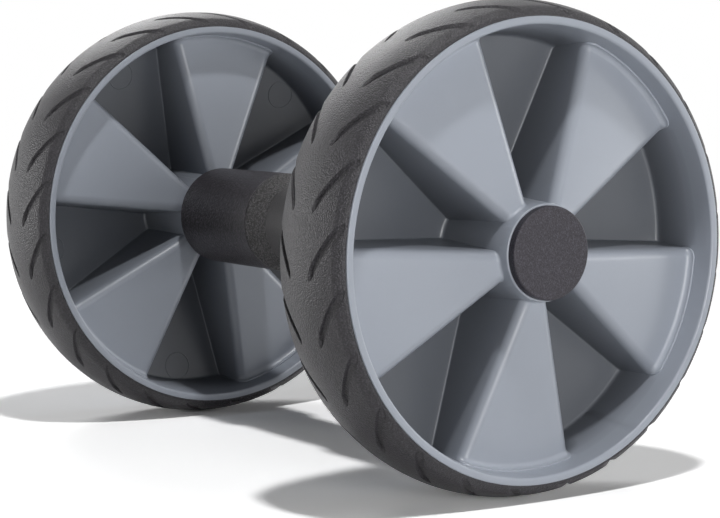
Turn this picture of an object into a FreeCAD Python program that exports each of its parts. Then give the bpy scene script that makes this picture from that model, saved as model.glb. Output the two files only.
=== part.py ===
import FreeCAD, Part
import math
import os

from FreeCAD import Vector

# An exercise roller: two free wheels on one axle, with a hand grip between them.
# Millimetres. The axle lies along Y, the roller rolls along X, and Z = 0 is the floor.
# Each piece is drawn about its own axis, at stations counted outwards from the middle
# of the grip, and is then laid on the axle. The right wheel is at -Y, the left at +Y.

# Wheel core
wheel_spacing = 229.0
rim_width = 40.0
lip_ring = 2.8
lip_round = 1.0
flange = 2.0
seat_depth = 1.4
rim_draft = 6.8
spoke_count = 5
spoke_rim_depth = 10.6
spoke_hub_depth = 2.6
web = 3.0
wall_draft = 5.0
spoke_round = 4.0
spoke_crease = 0.05
root_fillet = 2.2
hub_fillet = 1.2
floor_fillet = 1.5
ledge = 0.6
ledge_rise = 2.7
foot_steps = 12
hub_radius = 17.5
hub_draft = 4.5
hub_proud = 1.4
hub_inset = 0.8
mark_inset = 12.3
mark_radius = 6.0
mark_depth = 0.2

# Tyre
tyre_radius = 90.0
tyre_rise = 6.7
shoulder_drop = 1.7
shoulder_inset = 5.5
shoulder_round = 1.8
foot_height = 0.9
foot_inset = 0.7
foot_skin = 0.35
groove_count = 24
groove_width = 2.7
groove_depth = 1.3
groove_start = 6.0
groove_end_inset = 0.85
groove_slant = 11.0
groove_bow = 0.9

# How far each wheel and tread is turned at rest, in degrees from +X towards +Z
right_spoke_turn = 51.3
left_spoke_turn = 47.7
right_tread_turn = 183.2
left_tread_turn = 180.6

# Axle, bushes and what holds the wheels on
axle_radius = 6.0
axle_chamfer = 0.5
running_gap = 0.05
free_gap = 0.2
end_play = 0.3
bush_wall = 1.95
bush_flange = 2.0
flange_rim = 3.0
grease_space = 6.0
thread_radius = 4.0
thread_gap = 0.25
thread_length = 18.0
thread_spare = 4.0
head_radius = 7.0
head_height = 4.4
head_edge = 1.6
head_crown = 4.4
socket_sides = 6
socket_flats = 5.0
socket_depth = 2.6
washer = 2.0
washer_gap = 2.0
head_clearance = 2.3

# Hub cap
cap_inset = 0.7
cap_thickness = 3.1
cap_round = 0.7
hub_wall = 3.5
skirt_wall = 2.0
skirt_gap = 1.7

# Handle
collar_round = 0.9
collar_skin = 2.4
collar_sleeve = 2.5
collar_bridge = 6.0
collar_end_wall = 6.0
thrust_inset = 2.5
thrust_washer = 2.0
thrust_proud = 0.5
tube_radius = 13.0
tube_wall = 2.0
plug_length = 10.0
plug_flange = 2.0
grip_length = 78.0
grip_wall = 4.0
grip_swell = 0.4
flare_length = 9.0
flare_rise = 3.75
flare_land = 1.6
flare_sag = 0.6
seam = 0.4
seam_round = 0.4

# Stations and radii that follow from the sizes above
wheel_station = wheel_spacing / 2
half_rim = rim_width / 2
lip_radius = tyre_radius - tyre_rise
seat_radius = lip_radius - seat_depth
lip_inner = lip_radius - lip_ring
hub_end = half_rim + hub_proud
spoke_rim_top = half_rim - spoke_rim_depth
spoke_hub_top = half_rim - spoke_hub_depth
spoke_slope = (spoke_hub_top - spoke_rim_top) / (lip_inner - hub_radius)
ledge_top = spoke_rim_top + ledge_rise
sector = 180.0 / spoke_count
mark_station = lip_radius - mark_inset
counterbore_radius = hub_radius - hub_wall
washer_radius = counterbore_radius - washer_gap
hub_bore = axle_radius + running_gap + bush_wall
inner_flange_radius = hub_bore + flange_rim
washer_seat = end_play + bush_flange
counterbore_floor = hub_end - head_clearance - head_height - washer - washer_seat
hub_inner_end = hub_inset - half_rim
skirt_length = head_clearance + head_height - skirt_gap
cap_radius = hub_radius - cap_inset
thrust_radius = hub_radius - thrust_inset
axle_end = wheel_station + counterbore_floor + washer_seat
hub_face = wheel_station + hub_inner_end
collar_end = hub_face - end_play - thrust_proud
thrust_floor = collar_end + thrust_proud - thrust_washer
plug_end = thrust_floor - collar_end_wall
tube_end = plug_end - plug_flange
half_grip = grip_length / 2
grip_radius = tube_radius + grip_wall
collar_radius = grip_radius + flare_rise


def round_corner(before, corner, after, radius):
    """Start, middle and end of the arc that rounds one corner of an outline."""
    back = (before - corner).normalize()
    ahead = (after - corner).normalize()
    half = back.getAngle(ahead) / 2
    reach = radius / math.tan(half)
    inward = (back + ahead).normalize()
    middle = corner + inward * (radius / math.sin(half) - radius)
    return corner + back * reach, middle, corner + ahead * reach


def outline(corners):
    """Face in the XZ plane from corners given as x, z and the radius that rounds them."""
    points = [Vector(x, 0, z) for x, z, _ in corners]
    joints = []
    for i, (_, _, radius) in enumerate(corners):
        if radius:
            after = points[(i + 1) % len(points)]
            joints.append(round_corner(points[i - 1], points[i], after, radius))
        else:
            joints.append((points[i], None, points[i]))
    edges = []
    for i, (start, middle, end) in enumerate(joints):
        edges.append(Part.makeLine(joints[i - 1][2], start))
        if middle:
            edges.append(Part.Arc(start, middle, end).toShape())
    return Part.Face(Part.Wire(edges))


def turned(corners):
    """Solid of revolution about Z from corners of radius, station and rounding."""
    return outline(corners).revolve(Vector(0, 0, 0), Vector(0, 0, 1), 360)


def ring(inner, outer, start, end):
    """Plain ring between two radii and two stations."""
    return turned([(inner, start, 0), (outer, start, 0), (outer, end, 0), (inner, end, 0)])


def spun(shape, degrees):
    """Copy of a shape turned about its own axis."""
    copy = shape.copy()
    copy.rotate(Vector(0, 0, 0), Vector(0, 0, 1), degrees)
    return copy


def moved(shape, station):
    """Copy of a shape shifted outwards along its own axis."""
    copy = shape.copy()
    copy.translate(Vector(0, 0, station))
    return copy


def on_axle(shape, side):
    """Lays a shape on the axle: the right side at -Y, the left side as its mirror image."""
    laid = shape.copy()
    laid.rotate(Vector(0, 0, 0), Vector(1, 0, 0), 90)
    laid.translate(Vector(0, 0, tyre_radius))
    if side == "left":
        laid = laid.mirror(Vector(0, 0, 0), Vector(0, 1, 0))
    return laid


def rim_wall(station):
    """Radius of the rim's drafted inner wall at a station from the wheel's middle."""
    return lip_inner - (half_rim - station) * math.tan(math.radians(rim_draft))


def hub_side(station):
    """Radius of the hub's drafted side at a station from the wheel's middle."""
    return hub_radius + (hub_end - station) * math.tan(math.radians(hub_draft))


def spoke_top(radius):
    """Height of a spoke's top over the wheel's middle, which rises evenly from the rim to the hub."""
    return spoke_hub_top - spoke_slope * (radius - hub_radius)


def pocket_floor(radius):
    """Height of a pocket's floor, one web behind the top of the other face's spoke."""
    return web - spoke_top(radius)


def rim_ledge(station):
    """Radius of the narrow ledge round the spokes' outer ends at a station."""
    return rim_wall(station) - ledge


def foot(side, height):
    """Radius at which a sloped face meets a drafted side, closed in on step by step."""
    radius = hub_radius
    for _ in range(foot_steps):
        radius = side(height(radius))
    return radius


def core_blank():
    """Rim, full web and hub as one turned blank, before the pockets are sunk."""
    flange_face = half_rim - flange
    hub_foot = foot(hub_side, spoke_top)
    rim_foot = foot(rim_ledge, spoke_top)
    face = [
        (hub_radius, hub_end, 0),
        (hub_foot, spoke_top(hub_foot), hub_fillet),
        (rim_foot, spoke_top(rim_foot), root_fillet),
        (rim_ledge(ledge_top), ledge_top, 0),
        (rim_wall(ledge_top), ledge_top, 0),
        (lip_inner, half_rim, lip_round),
        (lip_radius, half_rim, 0),
        (lip_radius, flange_face, 0),
        (seat_radius, flange_face, 0),
    ]
    back = [(radius, -station, rounding) for radius, station, rounding in reversed(face[1:])]
    flange_recess = hub_inner_end + bush_flange
    bore = [
        (hub_side(-hub_inner_end), hub_inner_end, 0),
        (inner_flange_radius, hub_inner_end, 0),
        (inner_flange_radius, flange_recess, 0),
        (hub_bore, flange_recess, 0),
        (hub_bore, counterbore_floor, 0),
        (counterbore_radius, counterbore_floor, 0),
        (counterbore_radius, hub_end, 0),
    ]
    return turned(face + back + bore)


def pocket_wall(hand):
    """Prism of what lies on the pocket's side of one drafted wall, over the spoke's round edge.
    The wall runs along the radial line at half a sector from the pocket's middle, and the
    section at the axis is drawn out along the wall, down the slope of the spoke's top."""
    lean = math.tan(math.radians(wall_draft))
    line = web / 2 / math.cos(math.radians(wall_draft))
    fall = spoke_slope * lip_radius
    bottom = pocket_floor(0) - web
    above = ledge_top + fall
    over = spoke_top(0) + spoke_crease
    crest = line - over * lean
    profile = [
        (line - bottom * lean, bottom, 0),
        (crest, over, spoke_round),
        (crest - spoke_round, over, 0),
        (crest - spoke_round, above, 0),
        (lip_radius, above, 0),
        (lip_radius, bottom, 0),
    ]
    section = outline([(hand * x, z, rounding) for x, z, rounding in profile])
    prism = section.extrude(Vector(hand * fall * lean, lip_radius, -fall))
    return spun(prism, hand * sector / 2 - 90)


def pocket():
    """One wedge pocket, centred on +X, as the tool that sinks it into the outer face."""
    hub_foot = foot(hub_side, pocket_floor)
    rim_foot = foot(rim_wall, pocket_floor)
    tool = turned([
        (hub_foot, pocket_floor(hub_foot), floor_fillet),
        (rim_foot, pocket_floor(rim_foot), floor_fillet),
        (rim_wall(ledge_top), ledge_top, 0),
        (hub_side(half_rim), half_rim, 0),
    ])
    return tool.common(pocket_wall(1)).common(pocket_wall(-1))


def mould_mark():
    """Shallow round mark, centred on +X, in the floor of an inner pocket."""
    inner = mark_station - mark_radius
    outer = mark_station + mark_radius
    layer = turned([
        (inner, -pocket_floor(inner), 0),
        (outer, -pocket_floor(outer), 0),
        (outer, mark_depth - pocket_floor(outer), 0),
        (inner, mark_depth - pocket_floor(inner), 0),
    ])
    return layer.common(Part.makeCylinder(mark_radius, half_rim, Vector(mark_station, 0, 0)))


def wheel_core():
    """One moulding: rim, hub and a folded web whose spokes are the other face's pockets."""
    outer = pocket()
    inner = outer.mirror(Vector(0, 0, 0), Vector(0, 0, 1))
    mark = mould_mark()
    tools = []
    for k in range(spoke_count):
        tools.append(spun(outer, (2 * k + 1) * sector))
        tools.append(spun(inner, 2 * k * sector))
        tools.append(spun(mark, 2 * k * sector))
    return core_blank().cut(tools)


def tyre_section(drop, foot_rise):
    """Cross-section of the tyre, its tread lowered by a drop and its foot at a rise over the lip."""
    shoulder = tyre_radius - shoulder_drop - drop
    shoulder_station = half_rim - shoulder_inset
    foot = lip_radius + foot_rise
    foot_station = half_rim - foot_inset
    flange_face = half_rim - flange
    half = [
        Vector(shoulder, 0, shoulder_station),
        Vector(foot, 0, foot_station),
        Vector(lip_radius - drop, 0, foot_station),
        Vector(lip_radius - drop, 0, flange_face),
        Vector(seat_radius - drop, 0, flange_face),
    ]
    other = [Vector(p.x, 0, -p.z) for p in reversed(half)]
    tread = Part.Arc(other[-1], Vector(tyre_radius - drop, 0, 0), half[0]).toShape()
    sides = Part.makePolygon(half + other)
    return Part.Face(Part.Wire([tread] + sides.Edges))


def groove():
    """One slanting tread groove at +X, as a bowed slot that gets shallower towards the foot."""
    outer_end = half_rim - groove_end_inset - groove_width / 2
    lead = tyre_radius * math.radians(groove_slant) / 2
    inner = Vector(0, lead, groove_start)
    outer = Vector(0, -lead, outer_end)
    along = (outer - inner).normalize()
    across = Vector(0, -along.z, along.y)
    middle = (inner + outer) / 2 + across * groove_bow
    half = across * (groove_width / 2)
    edges = [
        Part.Arc(inner + half, middle + half, outer + half).toShape(),
        Part.Arc(outer + half, outer + along * (groove_width / 2), outer - half).toShape(),
        Part.Arc(outer - half, middle - half, inner - half).toShape(),
        Part.Arc(inner - half, inner - along * (groove_width / 2), inner + half).toShape(),
    ]
    slot = Part.Face(Part.Wire(edges)).extrude(Vector(tyre_radius + groove_depth, 0, 0))
    kept = tyre_section(groove_depth, foot_skin).revolve(Vector(0, 0, 0), Vector(0, 0, 1), 360)
    inside = Part.makeCylinder(lip_radius, rim_width, Vector(0, 0, -half_rim))
    return slot.cut(kept).cut(inside)


def tyre():
    """Rubber tyre on the rim's seat, with two mirrored rows of slanting grooves."""
    axis = Vector(0, 0, 1)
    body = tyre_section(0, foot_height).revolve(Vector(0, 0, 0), axis, 360)
    shoulder = tyre_radius - shoulder_drop
    circles = [edge for edge in body.Edges if isinstance(edge.Curve, Part.Circle)]
    corners = [edge for edge in circles if math.isclose(edge.Length, 2 * math.pi * shoulder)]
    body = body.makeFillet(shoulder_round, corners)
    outer = groove()
    inner = outer.mirror(Vector(0, 0, 0), axis)
    pitch = 360.0 / groove_count
    tools = [spun(row, k * pitch) for row in (outer, inner) for k in range(groove_count)]
    return body.cut(tools)


def hub_cap():
    """Plain round cap with a skirt that presses into the hub's counterbore."""
    skirt_end = hub_end - skirt_length
    front = hub_end + cap_thickness
    return turned([
        (0, front, 0),
        (cap_radius, front, cap_round),
        (cap_radius, hub_end, 0),
        (counterbore_radius, hub_end, 0),
        (counterbore_radius, skirt_end, 0),
        (counterbore_radius - skirt_wall, skirt_end, 0),
        (counterbore_radius - skirt_wall, hub_end, 0),
        (0, hub_end, 0),
    ])


def bush(flange_radius, flange_station, outwards):
    """Flanged plain bush: its sleeve runs into the hub away from the flange's outer face."""
    sleeve = (counterbore_floor - hub_inner_end - bush_flange - grease_space) / 2
    bore = axle_radius + running_gap
    seat = flange_station - outwards * bush_flange
    return turned([
        (bore, flange_station, 0),
        (flange_radius, flange_station, 0),
        (flange_radius, seat, 0),
        (hub_bore, seat, 0),
        (hub_bore, seat - outwards * sleeve, 0),
        (bore, seat - outwards * sleeve, 0),
    ])


def axle_screw():
    """Button-head screw with a hexagon socket, seated on the retaining washer."""
    seat = axle_end + washer
    top = seat + head_height
    screw = turned([
        (0, seat - thread_length, 0),
        (thread_radius, seat - thread_length, 0),
        (thread_radius, seat, 0),
        (head_radius, seat, 0),
        (head_radius, seat + head_edge, 0),
        (head_crown, top, 0),
        (0, top, 0),
    ])
    corner = socket_flats / 2 / math.cos(math.pi / socket_sides)
    angles = [2 * math.pi * k / socket_sides for k in range(socket_sides + 1)]
    hexagon = [Vector(corner * math.cos(a), corner * math.sin(a), top) for a in angles]
    socket = Part.Face(Part.makePolygon(hexagon)).extrude(Vector(0, 0, -socket_depth))
    return screw.cut(socket)


def axle_rod():
    """Steel rod through both wheels and the handle, tapped at each end."""
    hole = axle_end + washer - thread_length - thread_spare
    rod = turned([
        (0, -axle_end, 0),
        (axle_radius - axle_chamfer, -axle_end, 0),
        (axle_radius, -axle_end + axle_chamfer, 0),
        (axle_radius, axle_end - axle_chamfer, 0),
        (axle_radius - axle_chamfer, axle_end, 0),
        (0, axle_end, 0),
    ])
    tapped = Part.makeCylinder(thread_radius, axle_end - hole, Vector(0, 0, hole))
    return rod.cut([tapped, tapped.mirror(Vector(0, 0, 0), Vector(0, 0, 1))])


def tube_plug():
    """Flanged plug that centres the end of the grip tube on the axle."""
    bore = tube_radius - tube_wall
    return turned([
        (axle_radius, tube_end - plug_length, 0),
        (bore, tube_end - plug_length, 0),
        (bore, tube_end, 0),
        (tube_radius, tube_end, 0),
        (tube_radius, plug_end, 0),
        (axle_radius, plug_end, 0),
    ])


def collar():
    """Cored plastic collar over the end of the tube, with a seat for the thrust washer."""
    hole = axle_radius + free_gap
    recess = thrust_radius + free_gap
    core_inner = tube_radius + collar_sleeve
    core_outer = collar_radius - collar_skin
    core_end = plug_end - collar_bridge
    return turned([
        (tube_radius, half_grip, 0),
        (core_inner, half_grip, 0),
        (core_inner, core_end, 0),
        (core_outer, core_end, 0),
        (core_outer, half_grip, 0),
        (collar_radius, half_grip, seam_round),
        (collar_radius, collar_end, collar_round),
        (recess, collar_end, 0),
        (recess, thrust_floor, 0),
        (hole, thrust_floor, 0),
        (hole, plug_end, 0),
        (tube_radius, plug_end, 0),
    ])


def hand_grip():
    """Rubber sleeve on the tube: a slightly swollen barrel that flares out to each collar."""
    end = half_grip - seam
    barrel = end - flare_land - flare_length
    flare = collar_radius
    half = [
        Vector(flare, 0, end - flare_land),
        Vector(flare, 0, end),
        Vector(tube_radius, 0, end),
    ]
    neck = Vector(grip_radius, 0, barrel)
    sag = Vector((grip_radius + flare) / 2 - flare_sag, 0, barrel + flare_length / 2)
    far = [Vector(p.x, 0, -p.z) for p in reversed(half)]
    far_neck = Vector(neck.x, 0, -neck.z)
    far_sag = Vector(sag.x, 0, -sag.z)
    edges = [
        Part.Arc(neck, sag, half[0]).toShape(),
        Part.Arc(far[-1], far_sag, far_neck).toShape(),
        Part.Arc(far_neck, Vector(grip_radius + grip_swell, 0, 0), neck).toShape(),
    ]
    edges += Part.makePolygon(half + far).Edges
    loop = Part.Wire(Part.sortEdges(edges)[0])
    return Part.Face(loop).revolve(Vector(0, 0, 0), Vector(0, 0, 1), 360)


def wheel_pieces(spoke_turn, tread_turn):
    """The pieces that turn with one wheel, at their stations on the axle.
    The groove's inner end leads its middle by half the slant."""
    tread = tread_turn - groove_slant / 2
    outer_flange = counterbore_floor + bush_flange
    return {
        "wheel_core": moved(spun(wheel_core(), spoke_turn), wheel_station),
        "tyre": moved(spun(tyre(), tread), wheel_station),
        "inner_bush": moved(bush(inner_flange_radius, hub_inner_end, -1), wheel_station),
        "outer_bush": moved(bush(washer_radius, outer_flange, 1), wheel_station),
        "hub_cap": moved(hub_cap(), wheel_station),
    }


def fixed_pieces():
    """The pieces at one end of the handle, which stay still while the wheel turns."""
    return {
        "retaining_washer": ring(thread_radius + thread_gap, washer_radius, axle_end, axle_end + washer),
        "axle_screw": axle_screw(),
        "thrust_washer": ring(axle_radius + free_gap, thrust_radius, thrust_floor, thrust_floor + thrust_washer),
        "tube_plug": tube_plug(),
        "collar": collar(),
    }


def main():
    os.makedirs("parts", exist_ok=True)
    grip_tube = ring(tube_radius - tube_wall, tube_radius, -tube_end, tube_end)
    nodes = {
        "axle_rod": on_axle(axle_rod(), "right"),
        "grip_tube": on_axle(grip_tube, "right"),
        "hand_grip": on_axle(hand_grip(), "right"),
    }
    turns = {"right": (right_spoke_turn, right_tread_turn), "left": (left_spoke_turn, left_tread_turn)}
    for side, (spoke_turn, tread_turn) in turns.items():
        pieces = wheel_pieces(spoke_turn, tread_turn) | fixed_pieces()
        for name, shape in pieces.items():
            nodes[f"{side}_{name}"] = on_axle(shape, side)
    for name, shape in nodes.items():
        shape.exportStep(f"parts/{name}.step")
        print(name, len(shape.Solids), shape.isValid(), round(shape.Volume), shape.BoundBox)


main()
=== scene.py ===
import math

import bpy
import numpy as np
from bpy.props import FloatProperty, FloatVectorProperty, IntProperty, PointerProperty
from bpy.types import Operator, Panel, PropertyGroup
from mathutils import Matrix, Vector


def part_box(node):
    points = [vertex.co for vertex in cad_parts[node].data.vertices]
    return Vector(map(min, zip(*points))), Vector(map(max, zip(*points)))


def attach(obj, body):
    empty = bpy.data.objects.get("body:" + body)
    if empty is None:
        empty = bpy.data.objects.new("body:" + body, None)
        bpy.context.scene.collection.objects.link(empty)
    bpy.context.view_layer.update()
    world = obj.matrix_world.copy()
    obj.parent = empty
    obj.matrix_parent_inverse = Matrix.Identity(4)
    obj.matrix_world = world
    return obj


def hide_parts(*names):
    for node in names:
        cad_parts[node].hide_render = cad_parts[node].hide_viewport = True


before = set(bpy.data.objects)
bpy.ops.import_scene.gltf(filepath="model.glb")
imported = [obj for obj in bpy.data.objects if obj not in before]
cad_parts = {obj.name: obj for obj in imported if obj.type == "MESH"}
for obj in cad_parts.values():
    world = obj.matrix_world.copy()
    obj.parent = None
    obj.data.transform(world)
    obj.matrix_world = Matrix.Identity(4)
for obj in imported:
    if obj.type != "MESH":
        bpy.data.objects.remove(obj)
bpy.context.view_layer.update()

bl_info = {
    "name": "Exercise roller",
    "version": (1, 0, 0),
    "blender": (4, 5, 0),
    "location": "View3D > Sidebar > Roller",
    "description": "Builds the wheels, tyres and grip of an exercise roller and its studio stage",
    "category": "Add Mesh",
}

SIDES = ("right", "left")
CORE_LOW, CORE_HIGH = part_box("right_wheel_core")
TYRE_LOW, TYRE_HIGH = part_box("right_tyre")
CAP_LOW, CAP_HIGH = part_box("right_hub_cap")
GRIP_LOW, GRIP_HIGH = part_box("hand_grip")
TUBE_LOW, TUBE_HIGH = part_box("grip_tube")
AXLE_HEIGHT = (CAP_LOW.z + CAP_HIGH.z) / 2
WHEEL_STATION = (TYRE_LOW.y + TYRE_HIGH.y) / 2
HALF_RIM = CORE_HIGH.y - WHEEL_STATION
HUB_END = WHEEL_STATION - CORE_LOW.y
TYRE_RADIUS = (TYRE_HIGH.z - TYRE_LOW.z) / 2
TYRE_FOOT = HALF_RIM - (CORE_HIGH.y - TYRE_HIGH.y)

# Edges that bend by more than this stay sharp
SHARP_EDGE = math.radians(40)
# Width of the camera's sensor, in millimetres
SENSOR_WIDTH = 36.0
# How far a tread groove bows, over its slant
GROOVE_BOW = 0.08


def length(name, description, default):
    """A size in metres that a user may change."""
    return FloatProperty(name=name, description=description, default=default, unit="LENGTH", precision=5)


def angle(name, description, degrees):
    """An angle that a user may change."""
    return FloatProperty(name=name, description=description, default=math.radians(degrees), subtype="ANGLE")


def colour(name, description, default):
    """A surface colour that a user may change."""
    return FloatVectorProperty(
        name=name, description=description, default=default, subtype="COLOR", min=0, max=1,
    )


class RollerCoreSizes(PropertyGroup):
    """Sizes of the moulded wheel core."""

    lip_radius: length("Lip radius", "Outer radius of the rim's two lips", (CORE_HIGH.z - CORE_LOW.z) / 2)
    lip_ring: length("Lip ring", "Width of the flat ring on each lip", 0.0028)
    lip_round: length("Lip round", "Rounding of the lip's inner edge", 0.0010)
    rim_draft: angle("Rim draft", "Draft of the rim's inner wall", 6.8)
    flange: length("Flange", "Thickness of the flange behind each lip", 0.0020)
    seat_depth: length("Seat depth", "Depth of the tyre's seat below the lip", 0.0014)
    spokes: IntProperty(name="Spokes", description="Wedge spokes on each face", default=5, min=3)
    spoke_rim_depth: length("Rim depth", "Depth of the spokes' tops below the lip, at the rim", 0.0106)
    spoke_hub_depth: length("Hub depth", "Depth of the spokes' tops below the lip, at the hub", 0.0026)
    web: length("Web", "Wall thickness of the folded web", 0.0030)
    wall_draft: angle("Wall draft", "Slope of the walls between spokes and pockets", 5.0)
    spoke_round: length("Spoke round", "Rounding of the spokes' long edges", 0.0040)
    wall_fillet: length("Wall fillet", "Fillet where a wall meets a pocket's floor", 0.0006)
    floor_fillet: length("Floor fillet", "Fillet where a pocket's floor meets the rim and the hub", 0.0015)
    rim_fillet: length("Rim fillet", "Fillet where a spoke's top meets the rim", 0.0022)
    hub_fillet: length("Hub fillet", "Fillet where a spoke's top meets the hub", 0.0012)
    hub_edge: length("Hub edge", "Rounding of the hub's ends", 0.0004)
    lip_edge: length("Lip edge", "Rounding of the lip's outer edge", 0.0003)
    ledge: length("Ledge", "Step between a spoke's end and the rim's wall", 0.0006)
    hub_radius: length("Hub radius", "Radius of the hub's end", 0.0175)
    hub_draft: angle("Hub draft", "Draft of the hub's side", 4.5)
    hub_inset: length("Hub inset", "How far the hub's inner end lies inside the lip", 0.0008)
    counterbore: length("Counterbore", "Radius of the hub's counterbore", 0.0140)
    counterbore_depth: length("Counterbore depth", "Depth of the hub's counterbore", 0.0110)
    bore: length("Bore", "Radius of the hub's bore", 0.0080)
    flange_bore: length("Flange bore", "Radius of the recess for the inner bush's flange", 0.0110)
    flange_recess: length("Flange recess", "Depth of the recess for the inner bush's flange", 0.0020)
    mark_station: length("Mark station", "Distance of each round mould mark from the axle", 0.0710)
    mark_radius: length("Mark radius", "Radius of each round mould mark", 0.0060)
    mark_height: length("Mark height", "Height of a mould mark's fine rim", 0.0002)
    right_turn: angle("Right turn", "Angle of a spoke of the right wheel at rest", 51.3)
    left_turn: angle("Left turn", "Angle of a spoke of the left wheel at rest", 47.7)


class RollerTyreSizes(PropertyGroup):
    """Sizes of the tyre and its tread."""

    shoulder_drop: length("Shoulder drop", "How far the shoulder lies below the crown", 0.0033)
    shoulder_inset: length("Shoulder inset", "Distance of the shoulder from the lip", 0.0026)
    shoulder_round: length("Shoulder round", "Width over which the shoulder is rounded", 0.0012)
    foot_height: length("Foot height", "Height of the sidewall's foot over the lip", 0.0009)
    grooves: IntProperty(name="Grooves", description="Tread grooves in each row", default=24, min=6)
    groove_width: length("Groove width", "Width of a tread groove", 0.0027)
    groove_edge: length("Groove edge", "Width of a groove's sloping edge", 0.0004)
    groove_depth: length("Groove depth", "Depth of a tread groove", 0.0011)
    groove_start: length("Groove start", "Distance of a groove's inner end from the crown", 0.0060)
    groove_end: length("Groove end", "Distance of a groove's outer end from the lip", 0.0024)
    groove_slant: angle("Groove slant", "Angle that a groove turns through about the axle", 10.3)
    right_turn: angle("Right turn", "Angle of a groove's inner end on the right wheel", 183.2)
    left_turn: angle("Left turn", "Angle of a groove's inner end on the left wheel", 180.6)


class RollerGripSizes(PropertyGroup):
    """Sizes of the rubber hand grip."""

    barrel_radius: length("Barrel radius", "Radius of the grip where the flares begin", 0.0170)
    swell: length("Swell", "How much the barrel swells in its middle", 0.0004)
    flare_length: length("Flare length", "Length of each flare", 0.0090)
    flare_land: length("Flare land", "Straight stretch at the end of each flare", 0.0016)
    end_round: length("End round", "Rounding of the grip's two end edges", 0.0005)


class RollerColours(PropertyGroup):
    """Colours of the roller's finishes."""

    core: colour("Core", "Moulded grey of the wheel cores", (0.292, 0.316, 0.362))
    tyre: colour("Tyre", "Black of the tyre's rubber", (0.0125, 0.0117, 0.0137))
    cap: colour("Cap", "Charcoal of the hub caps", (0.0245, 0.022, 0.0290))
    collar: colour("Collar", "Black of the collars", (0.029, 0.0265, 0.0305))
    grip: colour("Grip", "Black of the rubber grip", (0.026, 0.025, 0.026))
    steel: colour("Steel", "Steel of the axle and the tube", (0.56, 0.56, 0.57))
    zinc: colour("Zinc", "Plated steel of the screws and washers", (0.60, 0.60, 0.57))
    polymer: colour("Polymer", "Pale plastic of the bushes and thrust washers", (0.72, 0.70, 0.62))
    floor: colour("Floor", "Pale studio floor", (0.86, 0.86, 0.86))
    # Strength of the painted shade that darkens the wheel cores' pockets towards their floors, in place of
    # the shade that falls in them
    pocket_shade: FloatProperty(
        name="Hollow", description="How much darker the bottoms of the pockets are",
        default=0.66, min=0, max=1,
    )


class RollerStage(PropertyGroup):
    """Camera and studio light."""

    camera: FloatVectorProperty(
        name="Camera", description="Place of the camera", default=(-0.459, -0.707, 0.155),
        subtype="TRANSLATION", unit="LENGTH",
    )
    yaw: angle("Yaw", "Turn of the view from along the axle", 33.636)
    pitch: angle("Pitch", "Downward tilt of the view", 5.26)
    lens: FloatProperty(
        name="Lens", description="Focal length in millimetres", default=103.685, unit="CAMERA",
    )
    lamp_distance: length("Lamp distance", "Distance of each lamp from the middle of the axle", 1.6)
    floor_reach: length("Floor reach", "Distance of the floor's edges from its middle", 6.0)
    floor_white: FloatProperty(
        name="Floor white", description="How much lighter the floor shows than it lights",
        default=1.82, min=1,
    )
    fade_start: length("Fade start", "Distance from the middle at which the floor begins to fade", 0.55)
    fade_end: length("Fade end", "Distance from the middle at which the floor is white", 1.1)


# Studio lamps about the axle's middle: turn from the camera's side to its right and rise, both in degrees,
# then power in watts and width in metres
LAMPS = {
    "key_lamp": (14, 69, 12.8, 0.11),
    "right_lamp": (100, 3, 8.5, 0.7),
    "front_lamp": (25, 0, 22.5, 0.8),
    "left_lamp": (-102, 0, 14.0, 0.7),
    "back_lamp": (200, 36, 8.5, 0.7),
}

# Sizes of the patterns in the finishes, in metres
FLOW_CLOUD = 0.035
CORE_GRAIN = 0.0005
TYRE_PEBBLE = 0.0006
TYRE_GRAIN = 0.0006
TYRE_CLOUD = 0.02
GRIP_PEBBLE = 0.0008
GRIP_GRAIN = 0.0005
FLARE_BLEND = 0.0003
METAL_CLOUD = 0.012

GROUPS = {
    "roller_core": RollerCoreSizes,
    "roller_tyre": RollerTyreSizes,
    "roller_grip": RollerGripSizes,
    "roller_colours": RollerColours,
    "roller_stage": RollerStage,
}


class Value:
    """A number in a shader: arithmetic on it adds Math nodes."""

    def __init__(self, shader, socket):
        self.shader = shader
        self.socket = socket

    def math(self, operation, *others):
        """One Math node that takes this value first."""
        inputs = dict(enumerate((self, *others)))
        return self.shader.node("ShaderNodeMath", {"operation": operation}, inputs).value("Value")

    def __add__(self, other):
        return self.math("ADD", other)

    def __sub__(self, other):
        return self.math("SUBTRACT", other)

    def __mul__(self, other):
        return self.math("MULTIPLY", other)

    def __pow__(self, other):
        return self.math("POWER", other)

    def __rsub__(self, other):
        node = self.shader.node("ShaderNodeMath", {"operation": "SUBTRACT"}, {0: other, 1: self})
        return node.value("Value")

    __radd__ = __add__


class Made:
    """A node that a shader has added, with its outputs by name."""

    def __init__(self, shader, node):
        self.shader = shader
        self.node = node

    def value(self, name):
        """One output, wrapped for arithmetic."""
        return Value(self.shader, self.node.outputs[name])


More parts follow.
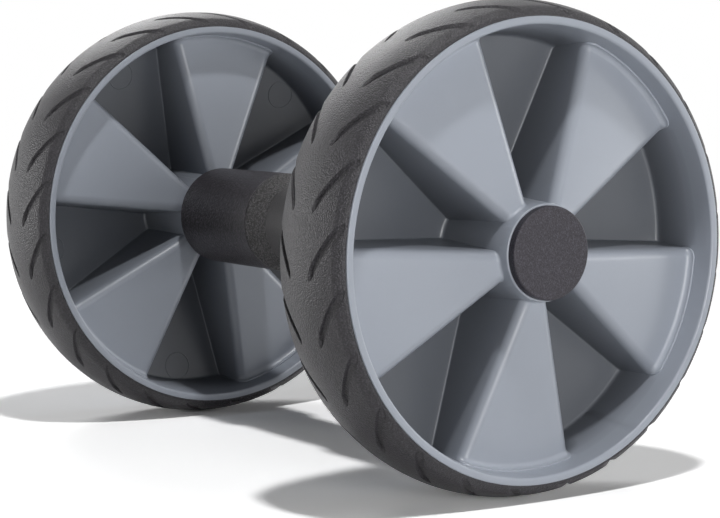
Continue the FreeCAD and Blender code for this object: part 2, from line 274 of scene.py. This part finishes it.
class Shader:
    """Adds nodes to one material or world."""

    def __init__(self, owner):
        owner.use_nodes = True
        self.tree = owner.node_tree
        self.tree.nodes.clear()

    def node(self, kind, settings=None, inputs=None):
        """Adds a node: first its settings, then the values or links of its sockets."""
        made = self.tree.nodes.new(kind)
        for name, setting in (settings or {}).items():
            setattr(made, name, setting)
        for name, given in (inputs or {}).items():
            if isinstance(given, Value):
                self.tree.links.new(given.socket, made.inputs[name])
            else:
                made.inputs[name].default_value = given
        return Made(self, made)

    def position(self):
        """Object coordinates, in metres."""
        return self.node("ShaderNodeTexCoord").value("Object")

    def noise(self, place, size, detail=2.0, roughness=0.5):
        """Noise from 0 to 1 whose grains are about one size across."""
        settings = {"noise_dimensions": "3D"}
        inputs = {"Vector": place, "Scale": 1 / size, "Detail": detail, "Roughness": roughness}
        return self.node("ShaderNodeTexNoise", settings, inputs).value("Fac")

    def cells(self, place, size):
        """Distance to the nearest cell centre, for a pebbled grain."""
        inputs = {"Vector": place, "Scale": 1 / size}
        return self.node("ShaderNodeTexVoronoi", {"feature": "F1"}, inputs).value("Distance")

    def ramp(self, value, start, end):
        """A smooth step from 0 to 1 between two values."""
        inputs = {"Value": value, "From Min": start, "From Max": end}
        return self.node("ShaderNodeMapRange", {"interpolation_type": "SMOOTHSTEP"}, inputs).value("Result")

    def looked_at(self):
        """1 on rays from the camera, a reflection or glass, and 0 on rays that gather light."""
        path = self.node("ShaderNodeLightPath")
        seen = path.value("Is Camera Ray").math("MAXIMUM", path.value("Is Glossy Ray"))
        return seen.math("MAXIMUM", path.value("Is Transmission Ray"))

    def shade(self, base, light, factor):
        """A base colour mixed towards another by a factor."""
        settings = {"data_type": "RGBA", "blend_type": "MIX"}
        inputs = {0: factor, 6: (*base, 1), 7: (*light, 1)}
        mixed = self.node("ShaderNodeMix", settings, inputs)
        return Value(self, mixed.node.outputs[2])

    def bump(self, height, strength, distance):
        """Normal from a height field."""
        inputs = {"Strength": strength, "Distance": distance, "Height": height}
        return self.node("ShaderNodeBump", None, inputs).value("Normal")

    def matt(self, tint):
        """A plain matt surface."""
        return self.node("ShaderNodeBsdfDiffuse", None, {"Color": (*tint, 1)}).value("BSDF")

    def mixed(self, factor, first, second):
        """Two surfaces mixed by a factor."""
        return self.node("ShaderNodeMixShader", None, {0: factor, 1: first, 2: second}).value("Shader")

    def surface(self, inputs):
        """Principled surface on the output."""
        made = self.node("ShaderNodeBsdfPrincipled", None, inputs)
        self.node("ShaderNodeOutputMaterial", None, {"Surface": made.value("BSDF")})


def scaled(shade, factor):
    """A colour made lighter or darker."""
    return tuple(min(1.0, channel * factor) for channel in shade)


def moulded_plastic(name, base, rough, grain, depth, speckle=0.08, gloss=0.4):
    """Moulded plastic: fine eroded grain with light specks, faint flow clouds and a slightly uneven gloss."""
    material = bpy.data.materials.new(name)
    shader = Shader(material)
    place = shader.position()
    clouds = shader.noise(place, FLOW_CLOUD, 3.0)
    fine = shader.noise(place, grain, 3.0, 0.65)
    specks = clouds * 0.2 + (fine * 1.5) ** 4 * 0.8
    tint = shader.shade(scaled(base, 1 - speckle), scaled(base, 1 + 2 * speckle), specks)
    shader.surface({
        "Base Color": tint,
        "Roughness": rough - 0.06 + fine * 0.12,
        "Normal": shader.bump(fine, 0.7, depth),
        "Specular IOR Level": gloss,
    })
    return material


def core_plastic(name, base, pocket_shade):
    """Moulded grey plastic: fine eroded grain and faint flow clouds, with painted shade that darkens it down
    in the pockets.
    """
    material = bpy.data.materials.new(name)
    shader = Shader(material)
    place = shader.position()
    clouds = shader.noise(place, FLOW_CLOUD, 3.0)
    fine = shader.noise(place, CORE_GRAIN, 3.0, 0.65)
    # Painted shade: the base colour darkens with each point's depth in the pockets, standing in for the shade
    # that falls there; the clouds and fine grain vary the plastic's own tone
    depth = shader.node("ShaderNodeAttribute", {"attribute_name": "pocket_shade"}).value("Fac") ** 0.5
    light = (0.93 + clouds * 0.08 + fine * 0.06) * (1 - depth * pocket_shade)
    shader.surface({
        "Base Color": shader.shade((0, 0, 0), base, light),
        "Roughness": 0.27 + fine * 0.10,
        "Normal": shader.bump(fine, 0.5, 0.00004),
        "Specular IOR Level": 0.5,
    })
    return material


def tyre_rubber(name, base):
    """Black rubber: a fine pebble grain with dusty specks and a dull uneven gloss."""
    material = bpy.data.materials.new(name)
    shader = Shader(material)
    place = shader.position()
    pebble = shader.cells(place, TYRE_PEBBLE)
    fine = shader.noise(place, TYRE_GRAIN, 2.0, 0.6)
    clouds = shader.noise(place, TYRE_CLOUD, 4.0)
    height = pebble * -1.0 + fine * 0.4
    dust = clouds * 0.15 + (fine * 1.5) ** 4 * 0.8
    shader.surface({
        "Base Color": shader.shade(scaled(base, 0.3), scaled(base, 4.5), dust),
        "Roughness": 0.34 + clouds * 0.06 + fine * 0.12,
        "Normal": shader.bump(height, 0.9, 0.0002),
        "Specular IOR Level": 0.35,
    })
    return material


def grained_grip(name, base, flare_start):
    """Soft rubber: coarse pebble grain on the flares whose tops carry painted highlights, a fine matt skin on
    the barrel.
    """
    material = bpy.data.materials.new(name)
    shader = Shader(material)
    place = shader.position()
    split = shader.node("ShaderNodeSeparateXYZ", None, {"Vector": place})
    along = split.value("Y").math("ABSOLUTE")
    flare = shader.ramp(along, flare_start - FLARE_BLEND, flare_start + FLARE_BLEND)
    pebble = shader.cells(place, GRIP_PEBBLE)
    fine = shader.noise(place, GRIP_GRAIN, 3.0, 0.6)
    height = pebble * flare * -1.0 + fine * 0.35
    # Painted highlights: the flares' pebble tops are lightened as if they caught the light; the fine noise is
    # the rubber's own uneven tone
    crest_glints_and_grain = (1 - pebble) ** 3 * flare * 1.8 + fine * (0.5 - flare * 0.45)
    tint = shader.shade(scaled(base, 0.3), scaled(base, 5.0), crest_glints_and_grain)
    shader.surface({
        "Base Color": tint,
        "Roughness": 0.45 + fine * 0.15 - flare * 0.05,
        "Normal": shader.bump(height, 0.8, 0.0006),
        "Specular IOR Level": 0.35,
    })
    return material


def turned_metal(name, base, rough):
    """Turned or drawn metal: fine lines round the axle and faint stains."""
    material = bpy.data.materials.new(name)
    shader = Shader(material)
    place = shader.position()
    squeezed = {"Vector": place, "Scale": (60, 6000, 60)}
    stretch = shader.node("ShaderNodeMapping", None, squeezed).value("Vector")
    lines = shader.noise(stretch, 1.0, 2.0)
    clouds = shader.noise(place, METAL_CLOUD, 3.0)
    shader.surface({
        "Base Color": shader.shade(scaled(base, 0.85), scaled(base, 1.1), lines * 0.6 + clouds * 0.4),
        "Metallic": 1.0,
        "Roughness": rough - 0.05 + lines * 0.1 + clouds * 0.05,
        "Normal": shader.bump(lines, 0.2, 0.00002),
    })
    return material


def wheel_place(side):
    """Station of a wheel's middle plane on Y, and the sign of its outward direction."""
    low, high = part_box(f"{side}_tyre")
    middle = (low.y + high.y) / 2
    return middle, math.copysign(1.0, middle)


def on_axle(radius, station, turn, middle, outward):
    """Points at a radius, station and turn about the axle, as an array whose last axis is x, y, z."""
    x = radius * np.cos(turn)
    y = middle + outward * station + 0 * turn
    z = AXLE_HEIGHT + radius * np.sin(turn)
    return np.stack(np.broadcast_arrays(x, y, z), axis=-1)


def full_turn(count):
    """Evenly spread angles round a full circle."""
    return np.linspace(0, 2 * math.pi, count, endpoint=False)


def rings(rows, turn):
    """Radius, station and turn grids of plain rings, one for each radius and station, over the same turns."""
    radius, station = (np.array(items)[:, None] + 0 * turn for items in zip(*rows))
    return radius, station, 0 * radius + turn


def net(rows, columns):
    """Corner numbers of the faces of a grid that closes on itself both ways."""
    here = np.arange(rows * columns).reshape(rows, columns)
    below = np.roll(here, -1, axis=0)
    corners = [here, below, np.roll(below, -1, axis=1), np.roll(here, -1, axis=1)]
    return np.stack(corners, axis=-1).reshape(-1, 4)


def outward_faces(points, faces):
    """The faces, turned over if the volume that they enclose comes out negative."""
    a, b, c, d = (points[faces[:, i]] for i in range(4))
    volume = np.einsum("ij,ij->i", a, np.cross(b, c)) + np.einsum("ij,ij->i", a, np.cross(c, d))
    return faces if volume.sum() > 0 else faces[:, ::-1]


def closed_piece(name, grids, body, material, pocket_shade=None):
    """An object made of closed grids of points that rides on a body, with its points' depth for the painted
    pocket shade if given.
    """
    points = []
    faces = []
    count = 0
    for grid in grids:
        flat = grid.reshape(-1, 3)
        corners = outward_faces(flat, net(*grid.shape[:2]))
        points.append(flat)
        faces.append(corners + count)
        count += len(flat)
    mesh = bpy.data.meshes.new(name)
    mesh.from_pydata(np.concatenate(points).tolist(), [], np.concatenate(faces).tolist())
    mesh.shade_smooth()
    mesh.set_sharp_from_angle(angle=SHARP_EDGE)
    mesh.materials.append(material)
    # Each point's depth, which the core's material turns into painted shade in the pockets
    if pocket_shade is not None:
        mesh.attributes.new("pocket_shade", "FLOAT", "POINT").data.foreach_set("value", pocket_shade.ravel())
    piece = bpy.data.objects.new(name, mesh)
    bpy.context.scene.collection.objects.link(piece)
    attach(piece, body)
    return piece


def spoke_top(core):
    """Height of the spokes' tops as a straight line over the radius: its value at the axle and its slope."""
    lip_inner = core.lip_radius - core.lip_ring
    slope = (core.spoke_rim_depth - core.spoke_hub_depth) / (lip_inner - core.hub_radius)
    return HALF_RIM - core.spoke_hub_depth + slope * core.hub_radius, slope


def spoke_profile(core):
    """Section across one wall, from a spoke's top to a pocket's floor.
    Each point's height is a + b times the spoke's top there, and its offset from the radial line is p + q
    times it, so that one section serves every radius: an arc rounds the spoke's edge (b = 1), a straight
    drafted wall follows, and a small arc meets the floor (b = -1)."""
    lean = math.tan(core.wall_draft)
    line = core.web / 2 / math.cos(core.wall_draft)
    sweep = math.pi / 2 - core.wall_draft
    reach = math.tan(sweep / 2)
    turn = np.linspace(0, sweep, 13)
    level = np.ones_like(turn)
    crown = np.stack([
        -core.spoke_round * (1 - np.cos(turn)),
        level,
        line + core.spoke_round * (np.sin(turn) - reach),
        -lean * level,
    ])
    back = np.linspace(sweep, 0, 6)
    level = np.ones_like(back)
    toe = np.stack([
        core.web + core.wall_fillet * (1 - np.cos(back)),
        -level,
        line - core.web * lean + core.wall_fillet * (reach - np.sin(back)),
        lean * level,
    ])
    share = np.linspace(0, 1, 6)[1:-1]
    wall = crown[:, -1:] + (toe[:, :1] - crown[:, -1:]) * share
    return np.concatenate([crown, wall, toe], axis=1)


def rounded_path(corners):
    """Rows of points along a path with rounded corners, as complex numbers: radius + i station.
    A corner is its place, its rounding, the points of its arc and the points of the straight run before it.
    The arc's centre lies on the corner's bisector, the rounding over the sine of half the angle away."""
    places = [place for place, _, _, _ in corners]
    rows = []
    last = places[0]
    for i, (place, rounding, arc, run) in enumerate(corners[1:-1], 1):
        back = places[i - 1] - place
        ahead = places[i + 1] - place
        back = back / np.abs(back)
        ahead = ahead / np.abs(ahead)
        bisector = (back + ahead) / np.abs(back + ahead)
        half = np.angle(back / bisector)
        centre = place + bisector * rounding / np.sin(np.abs(half))
        sweep = np.sign(half) * math.pi / 2 - half
        turns = np.linspace(-1, 1, arc) if arc > 1 else [0.0]
        arc_rows = [centre - bisector * rounding * np.exp(1j * sweep * turn) for turn in turns]
        for share in np.linspace(0, 1, run + 2)[1:-1]:
            rows.append(last + (arc_rows[0] - last) * share)
        rows += arc_rows
        last = rows[-1]
    return np.stack(np.broadcast_arrays(*rows))


def wheel_face(core, hub_end):
    """One face of a core as radius, station and turn grids, with a row for each step from hub to lip.
    Every column is a path with rounded corners: down the hub, out along the web at the height of its place in
    the wall's section, up to a small ledge round the spoke's end, and up the rim's wall to the lip."""
    section = spoke_profile(core)
    spread = np.linspace(0, 1, 9)[:-1]
    flat = len(spread)
    ends = np.concatenate([spread, np.ones(section.shape[1]), spread[::-1]])
    hand = np.concatenate([-np.ones(flat), np.zeros(section.shape[1]), np.ones(flat)])
    spoke = section[:, :1].repeat(flat, 1)
    pocket = section[:, -1:].repeat(flat, 1)
    a, b, p, q = np.concatenate([spoke, section, pocket], axis=1)
    apex, slope = spoke_top(core)
    lip_inner = core.lip_radius - core.lip_ring
    rim_lean = math.tan(core.rim_draft)
    hub_lean = math.tan(core.hub_draft)

    def rim(station):
        """Radius of the rim's drafted wall."""
        return lip_inner - (HALF_RIM - station) * rim_lean

    def hub(station):
        """Radius of the hub's drafted side."""
        return core.hub_radius + (HUB_END - station) * hub_lean

    foot = (hub(0) - hub_lean * (a + b * apex)) / (1 - hub_lean * b * slope)
    foot_height = a + b * (apex - slope * foot)
    middle = (lip_inner + core.hub_radius) / 2
    top = apex - slope * middle
    rise = (a + b * top - core.web + top) / (2 * top - core.web)
    # The ledge fades down the wall to a trace of itself on the pocket's floor
    ledge = core.ledge * np.clip(rise * 1.5 - 0.5, 0.04, 1)
    hub_fillet = core.floor_fillet + (core.hub_fillet - core.floor_fillet) * rise
    rim_fillet = core.floor_fillet + (core.rim_fillet - core.floor_fillet) * rise
    end = (rim(0) - ledge + rim_lean * (a + b * apex)) / (1 + rim_lean * b * slope)
    end_height = a + b * (apex - slope * end)
    # The ledge lies just clear of the fillet at the spoke's end
    ledge_top = end_height + 1.1 * rim_fillet
    path = rounded_path([
        (core.counterbore + 1j * hub_end, 0, 1, 0),
        (hub(hub_end) + 1j * hub_end, core.hub_edge, 4, 0),
        (foot + 1j * foot_height, hub_fillet, 7, 5),
        (end + 1j * end_height, rim_fillet, 8, 14),
        (rim(ledge_top) - ledge + 1j * ledge_top, 0.4 * ledge, 4, 0),
        (rim(ledge_top) + 1j * ledge_top, 0, 1, 0),
        (lip_inner + 1j * HALF_RIM, core.lip_round, 6, 6),
        (core.lip_radius + 1j * HALF_RIM, core.lip_edge, 4, 1),
        (core.lip_radius + 1j * (HALF_RIM - core.flange), 0, 1, 0),
    ])
    radius = path.real
    offset = p + q * (apex - slope * radius)
    bend = np.arcsin(np.clip(offset / radius, -0.999, 0.999))
    half = math.pi / core.spokes / 2
    turn = hand * half * (1 - ends) + bend * np.where(hand == 0, 1, ends)
    return radius, path.imag, turn


def around(core, grid, mirrored):
    """A half-sector grid repeated round the wheel: each wall once as drawn and once mirrored."""
    radius, station, turn = grid
    sector = math.pi / core.spokes
    parts = []
    for k in range(2 * core.spokes):
        flip = (k % 2 == 1) != mirrored
        order = slice(None, None, -1) if flip else slice(None)
        sign = -1 if flip else 1
        parts.append((radius[:, order], station[:, order], (k + 0.5) * sector + sign * turn[:, order]))
    return tuple(np.concatenate(items, axis=1) for items in zip(*parts))


def wheel_core_grid(core, turn, middle, outward):
    """The whole core as one closed grid: outer face, tyre seat, inner face and bore.
    With it comes each point's hollowness: its depth below the spokes' tops over the pocket's depth there,
    which sets how much painted shade darkens it."""
    hub_end = HALF_RIM - core.hub_inset
    outer = around(core, wheel_face(core, HUB_END), False)
    inner = around(core, wheel_face(core, hub_end), True)
    flange = HALF_RIM - core.flange
    seat = core.lip_radius - core.seat_depth
    floor = HUB_END - core.counterbore_depth
    recess = hub_end - core.flange_recess
    seat_rows = [(core.lip_radius, flange), (seat, flange), (seat, -flange), (core.lip_radius, -flange)]
    bore_rows = [
        (core.flange_bore, -hub_end),
        (core.flange_bore, -recess),
        (core.bore, -recess),
        (core.bore, floor),
        (core.counterbore, floor),
        (core.counterbore, HUB_END),
    ]
    inner_radius, inner_station, inner_turn = (part[::-1] for part in inner)
    grids = [
        outer,
        rings(seat_rows, outer[2][-1]),
        (inner_radius, -inner_station, inner_turn),
        rings(bore_rows, outer[2][0]),
    ]
    radius, station, bend = (np.concatenate(items) for items in zip(*grids))
    apex, slope = spoke_top(core)
    top = apex - slope * radius
    seat_start = len(outer[0])
    seat_end = seat_start + len(seat_rows)
    height = np.concatenate([station[:seat_start], -station[seat_start:]])
    pocket_shade = np.clip((top - height) / (2 * top - core.web), 0, 1)
    pocket_shade[seat_start:seat_end] = 0
    return on_axle(radius, station, turn + bend, middle, outward), pocket_shade


def mould_marks(core, turn, middle, outward):
    """Fine raised rings on the floors of the inner face, each a thin round bead half sunk in the floor."""
    apex, slope = spoke_top(core)
    around_ring = full_turn(48)
    section = full_turn(6)
    radius = core.mark_radius + core.mark_height * np.cos(section)[:, None]
    across = core.mark_station + radius * np.cos(around_ring)
    aside = radius * np.sin(around_ring)
    floor = apex - slope * np.hypot(across, aside) - core.web
    station = floor - core.mark_height * np.sin(section)[:, None]
    sector = 2 * math.pi / core.spokes
    grids = []
    for k in range(core.spokes):
        bend = turn + k * sector + np.arctan2(aside, across)
        grids.append(on_axle(np.hypot(across, aside), station, bend, middle, outward))
    return grids


def tread_stations(tyre):
    """Stations from the crown to the sidewall's foot, closer together by a groove's ends and the shoulder."""
    near = tyre.groove_width
    before = tyre.groove_start - near * 0.8
    after = tyre.groove_start + near * 0.4
    bend = HALF_RIM - tyre.shoulder_inset - near
    return np.concatenate([
        np.linspace(0, before, 4)[:-1],
        np.linspace(before, after, 10)[:-1],
        np.linspace(after, bend, 7)[:-1],
        np.linspace(bend, TYRE_FOOT, 17),
    ])


def tyre_section(tyre, core, out):
    """Radius of the plain tyre at distances from its middle.
    It is a circular crown or a straight sidewall, whichever is less, with the corner between them eased."""
    foot_radius = core.lip_radius + tyre.foot_height
    shoulder = HALF_RIM - tyre.shoulder_inset
    drop = tyre.shoulder_drop
    bow = (shoulder ** 2 + drop ** 2) / (2 * drop)
    tread = TYRE_RADIUS - bow + np.sqrt(bow ** 2 - out ** 2)
    fall = foot_radius - TYRE_RADIUS + drop
    side = TYRE_RADIUS - drop + fall * (out - shoulder) / (TYRE_FOOT - shoulder)
    ease = np.maximum(tyre.shoulder_round - np.abs(tread - side), 0) / tyre.shoulder_round
    return np.minimum(tread, side) - ease ** 2 * tyre.shoulder_round / 4


def tread_columns(tyre, lean):
    """Angles of the columns of one pitch from a groove's middle, close together on its bed and its banks.
    The lean is how much longer a slanting groove's width is when it is measured round the tyre."""
    edge = tyre.groove_width / 2
    soft = tyre.groove_edge
    bed = np.array([0, 0.45, 0.8, 1.0]) * (edge - soft / 2)
    bank = edge + soft * np.linspace(-0.5, 0.5, 6)[1:]
    near = np.concatenate([bed, bank]) * lean / TYRE_RADIUS
    land = np.linspace(near[-1], math.pi / tyre.grooves, 6)[1:]
    right = np.concatenate([near, land])
    return np.concatenate([-right[1:-1][::-1], right])


def groove_cut(tyre, across, out):
    """Depth of a round-ended groove with smooth banks, at distances across it and from the tyre's middle."""
    edge = tyre.groove_width / 2
    soft = tyre.groove_edge
    groove_end = HALF_RIM - tyre.groove_end
    past = np.maximum(np.maximum(tyre.groove_start + edge - out, out - groove_end), 0)
    distance = np.hypot(across[None, :], past[:, None])
    share = np.clip((edge + soft / 2 - distance) / soft, 0, 1)
    return tyre.groove_depth * (share * share * (3 - 2 * share))


def tyre_grid(tyre, core, turn, middle, outward):
    """The tyre as one closed grid whose columns follow the slanting, bowed grooves.
    The radius is that of the plain section less the depth of the grooves."""
    half = tread_stations(tyre)
    station = np.concatenate([half[::-1], -half[1:]])
    out = np.abs(station)
    length_across = HALF_RIM - tyre.groove_end - tyre.groove_start
    run = (out - tyre.groove_start) / length_across
    bow = GROOVE_BOW * run * (1 - run) * (run > 0) * (run < 1)
    # Past a groove's ends the columns keep its slant for a stretch and then run straight across
    lead = -tyre.groove_slant * (np.clip(run, -0.4, 1.2) + bow)
    lean = math.hypot(TYRE_RADIUS * tyre.groove_slant, length_across) / length_across
    within = tread_columns(tyre, lean)
    pitch = 2 * math.pi / tyre.grooves
    columns = (np.arange(tyre.grooves)[:, None] * pitch + within).ravel()
    across = np.tile(within, tyre.grooves) * TYRE_RADIUS / lean
    grooved = tyre_section(tyre, core, out)[:, None] - groove_cut(tyre, across, out)
    bend = columns[None, :] + lead[:, None]
    tread = (grooved, station[:, None] + 0 * bend, bend)

    flange = HALF_RIM - core.flange
    seat = core.lip_radius - core.seat_depth
    rest = rings([
        (core.lip_radius, -TYRE_FOOT),
        (core.lip_radius, -flange),
        (seat, -flange),
        (seat, flange),
        (core.lip_radius, flange),
        (core.lip_radius, TYRE_FOOT),
    ], bend[-1])
    radius, stations, turns = (np.concatenate(items) for items in zip(tread, rest))
    return on_axle(radius, stations, turn + turns, middle, outward)


def grip_grid(grip):
    """The grip as one closed sleeve: a slightly swollen barrel that rises in an eased curve to each flare."""
    end = GRIP_HIGH.y
    flare = (GRIP_HIGH.z - GRIP_LOW.z) / 2
    inner = (TUBE_HIGH.z - TUBE_LOW.z) / 2
    neck = end - grip.flare_land - grip.flare_length
    half = np.concatenate([np.linspace(0, neck, 12)[:-1], np.linspace(neck, end - grip.end_round, 22)])
    barrel = grip.barrel_radius + grip.swell * (1 - np.clip(half / neck, 0, 1) ** 2)
    rise = np.clip((half - neck) / grip.flare_length, 0, 1)
    radius = barrel + (flare - barrel) * rise ** 1.5
    corner = np.linspace(0, math.pi / 2, 5)[1:]
    radius = np.concatenate([radius, flare - grip.end_round * (1 - np.cos(corner)), [inner]])
    half = np.concatenate([half, end - grip.end_round * (1 - np.sin(corner)), [end]])
    radius = np.concatenate([radius[::-1], radius[1:]])
    station = np.concatenate([half[::-1], -half[1:]])
    return on_axle(*rings(zip(radius, station), full_turn(128)), 0.0, 1.0)


def give(node, material):
    """Puts a finish on a CAD node."""
    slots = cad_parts[node].data.materials
    slots.clear()
    slots.append(material)


class ROLLER_OT_wheel_cores(Operator):
    """Builds both moulded wheel cores, with their spokes, pockets, lips and mould marks."""

    bl_idname = "roller.wheel_cores"
    bl_label = "Build wheel cores"

    def execute(self, context):
        core = context.scene.roller_core
        colours = context.scene.roller_colours
        plastic = core_plastic("core_plastic", colours.core, colours.pocket_shade)
        for side in SIDES:
            middle, outward = wheel_place(side)
            turn = core.right_turn if side == "right" else core.left_turn
            grid, pocket_shade = wheel_core_grid(core, turn, middle, outward)
            marks = mould_marks(core, turn, middle, outward)
            # The mould marks stand on the pocket floors, so they take the full painted shade
            pocket_shade = np.concatenate([pocket_shade.ravel()] + [np.ones(mark.size // 3) for mark in marks])
            name = f"{side}_spoked_core"
            piece = closed_piece(name, [grid, *marks], f"{side}_wheel", plastic, pocket_shade)
            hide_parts(f"{side}_wheel_core")
        return {"FINISHED"}


class ROLLER_OT_tyres(Operator):
    """Builds both tyres with their slanting tread grooves."""

    bl_idname = "roller.tyres"
    bl_label = "Build tyres"

    def execute(self, context):
        tyre = context.scene.roller_tyre
        core = context.scene.roller_core
        rubber = tyre_rubber("tyre_rubber", context.scene.roller_colours.tyre)
        for side in SIDES:
            middle, outward = wheel_place(side)
            turn = tyre.right_turn if side == "right" else tyre.left_turn
            grid = tyre_grid(tyre, core, turn, middle, outward)
            piece = closed_piece(f"{side}_grooved_tyre", [grid], f"{side}_wheel", rubber)
            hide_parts(f"{side}_tyre")
        return {"FINISHED"}


class ROLLER_OT_grip(Operator):
    """Builds the flared rubber grip."""

    bl_idname = "roller.grip"
    bl_label = "Build hand grip"

    def execute(self, context):
        grip = context.scene.roller_grip
        flare_start = GRIP_HIGH.y - grip.flare_land - grip.flare_length
        rubber = grained_grip("grip_rubber", context.scene.roller_colours.grip, flare_start)
        piece = closed_piece("flared_grip", [grip_grid(grip)], "handle", rubber)
        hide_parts("hand_grip")
        return {"FINISHED"}


class ROLLER_OT_caps_and_collars(Operator):
    """Finishes the hub caps and the collars."""

    bl_idname = "roller.caps_and_collars"
    bl_label = "Finish caps and collars"

    def execute(self, context):
        colours = context.scene.roller_colours
        cap = moulded_plastic(
            "cap_plastic", colours.cap, rough=0.44, grain=0.0006, depth=0.0002, speckle=0.6, gloss=0.3,
        )
        collar = moulded_plastic(
            "collar_plastic", colours.collar, rough=0.42, grain=0.0010, depth=0.0005, speckle=1.0, gloss=0.4,
        )
        for side in SIDES:
            give(f"{side}_hub_cap", cap)
            give(f"{side}_collar", collar)
        return {"FINISHED"}


class ROLLER_OT_inner_pieces(Operator):
    """Finishes the axle, tube, bushes, washers, screws and plugs."""

    bl_idname = "roller.inner_pieces"
    bl_label = "Finish inner pieces"

    def execute(self, context):
        colours = context.scene.roller_colours
        steel = turned_metal("axle_steel", colours.steel, rough=0.3)
        zinc = turned_metal("zinc_steel", colours.zinc, rough=0.36)
        polymer = moulded_plastic("bush_polymer", colours.polymer, rough=0.35, grain=0.0008, depth=0.00002)
        plug = moulded_plastic("plug_plastic", colours.collar, rough=0.55, grain=0.0008, depth=0.00004)
        give("axle_rod", steel)
        give("grip_tube", steel)
        for side in SIDES:
            give(f"{side}_inner_bush", polymer)
            give(f"{side}_outer_bush", polymer)
            give(f"{side}_thrust_washer", polymer)
            give(f"{side}_retaining_washer", zinc)
            give(f"{side}_axle_screw", zinc)
            give(f"{side}_tube_plug", plug)
        return {"FINISHED"}


def add_lamp(name, place, target, width, power):
    """A square lamp that faces a point."""
    lamp = bpy.data.lights.new(name, "AREA")
    lamp.size = width
    lamp.energy = power
    holder = bpy.data.objects.new(name, lamp)
    holder.location = place
    holder.rotation_euler = (Vector(target) - Vector(place)).to_track_quat("-Z", "Y").to_euler()
    bpy.context.scene.collection.objects.link(holder)


class ROLLER_OT_stage(Operator):
    """Makes the pale floor, the studio light and the camera."""

    bl_idname = "roller.stage"
    bl_label = "Build stage"

    def execute(self, context):
        self.add_floor(context)
        self.add_light(context)
        self.add_camera(context)
        context.scene.view_settings.view_transform = "Standard"
        return {"FINISHED"}

    def add_floor(self, context):
        """Level square floor that shows white to the camera and still takes shadows."""
        stage = context.scene.roller_stage
        reach = stage.floor_reach
        mesh = bpy.data.meshes.new("studio_floor")
        corners = [(-reach, -reach, 0), (reach, -reach, 0), (reach, reach, 0), (-reach, reach, 0)]
        mesh.from_pydata(corners, [], [(0, 1, 2, 3)])
        floor = bpy.data.objects.new("studio_floor", mesh)
        context.scene.collection.objects.link(floor)
        material = bpy.data.materials.new("studio_floor")
        shader = Shader(material)
        tint = context.scene.roller_colours.floor
        lighter = [stage.floor_white * channel for channel in tint]
        glow = shader.node("ShaderNodeEmission", None, {"Color": (1, 1, 1, 1), "Strength": 1.0})
        far = shader.node("ShaderNodeVectorMath", {"operation": "LENGTH"}, {0: shader.position()})
        fade = shader.ramp(far.value("Value"), stage.fade_start, stage.fade_end)
        shown = shader.mixed(fade, shader.matt(lighter), glow.value("Emission"))
        surface = shader.mixed(shader.looked_at(), shader.matt(tint), shown)
        shader.node("ShaderNodeOutputMaterial", None, {"Surface": surface})
        mesh.materials.append(material)

    def add_light(self, context):
        """White surround that only shows, and square lamps in a ring about the axle's middle."""
        world = bpy.data.worlds.new("studio")
        shader = Shader(world)
        surround = {"Color": (1, 1, 1, 1), "Strength": shader.looked_at()}
        back = shader.node("ShaderNodeBackground", None, surround)
        shader.node("ShaderNodeOutputWorld", None, {"Surface": back.value("Background")})
        context.scene.world = world
        stage = context.scene.roller_stage
        middle = Vector((0, 0, AXLE_HEIGHT))
        ahead = Vector((math.sin(stage.yaw), math.cos(stage.yaw), 0))
        right = Vector((ahead.y, -ahead.x, 0))
        for name, (turn, rise, power, width) in LAMPS.items():
            turn, rise = math.radians(turn), math.radians(rise)
            level = right * math.sin(turn) - ahead * math.cos(turn)
            way = level * math.cos(rise) + Vector((0, 0, math.sin(rise)))
            add_lamp(name, middle + way * stage.lamp_distance, middle, width, power)

    def add_camera(self, context):
        """Camera at its fitted place, looking down a little along its yaw."""
        stage = context.scene.roller_stage
        lens = bpy.data.cameras.new("camera")
        lens.lens = stage.lens
        lens.sensor_width = SENSOR_WIDTH
        lens.clip_start = 0.01
        holder = bpy.data.objects.new("camera", lens)
        holder.location = stage.camera
        holder.rotation_euler = (math.pi / 2 - stage.pitch, 0, -stage.yaw)
        context.scene.collection.objects.link(holder)
        context.scene.camera = holder


STEPS = (
    ROLLER_OT_wheel_cores,
    ROLLER_OT_tyres,
    ROLLER_OT_grip,
    ROLLER_OT_caps_and_collars,
    ROLLER_OT_inner_pieces,
    ROLLER_OT_stage,
)


class ROLLER_PT_panel(Panel):
    """Sidebar panel with the roller's building steps and sizes."""

    bl_idname = "ROLLER_PT_panel"
    bl_label = "Exercise roller"
    bl_space_type = "VIEW_3D"
    bl_region_type = "UI"
    bl_category = "Roller"

    def draw(self, context):
        for step in STEPS:
            self.layout.operator(step.bl_idname)
        for name, group in GROUPS.items():
            box = self.layout.box()
            box.label(text=group.__doc__)
            for key in group.__annotations__:
                box.prop(getattr(context.scene, name), key)


CLASSES = (*GROUPS.values(), *STEPS, ROLLER_PT_panel)


def register():
    """Adds the roller's classes and its settings to Blender."""
    for kind in CLASSES:
        bpy.utils.register_class(kind)
    for name, group in GROUPS.items():
        setattr(bpy.types.Scene, name, PointerProperty(type=group))


def unregister():
    """Takes the roller's settings and classes out of Blender again."""
    for name in GROUPS:
        delattr(bpy.types.Scene, name)
    for kind in reversed(CLASSES):
        bpy.utils.unregister_class(kind)


def main():
    """Builds the roller and its stage."""
    register()
    bpy.ops.roller.wheel_cores()
    bpy.ops.roller.tyres()
    bpy.ops.roller.grip()
    bpy.ops.roller.caps_and_collars()
    bpy.ops.roller.inner_pieces()
    bpy.ops.roller.stage()


if __name__ == "__main__":
    main()
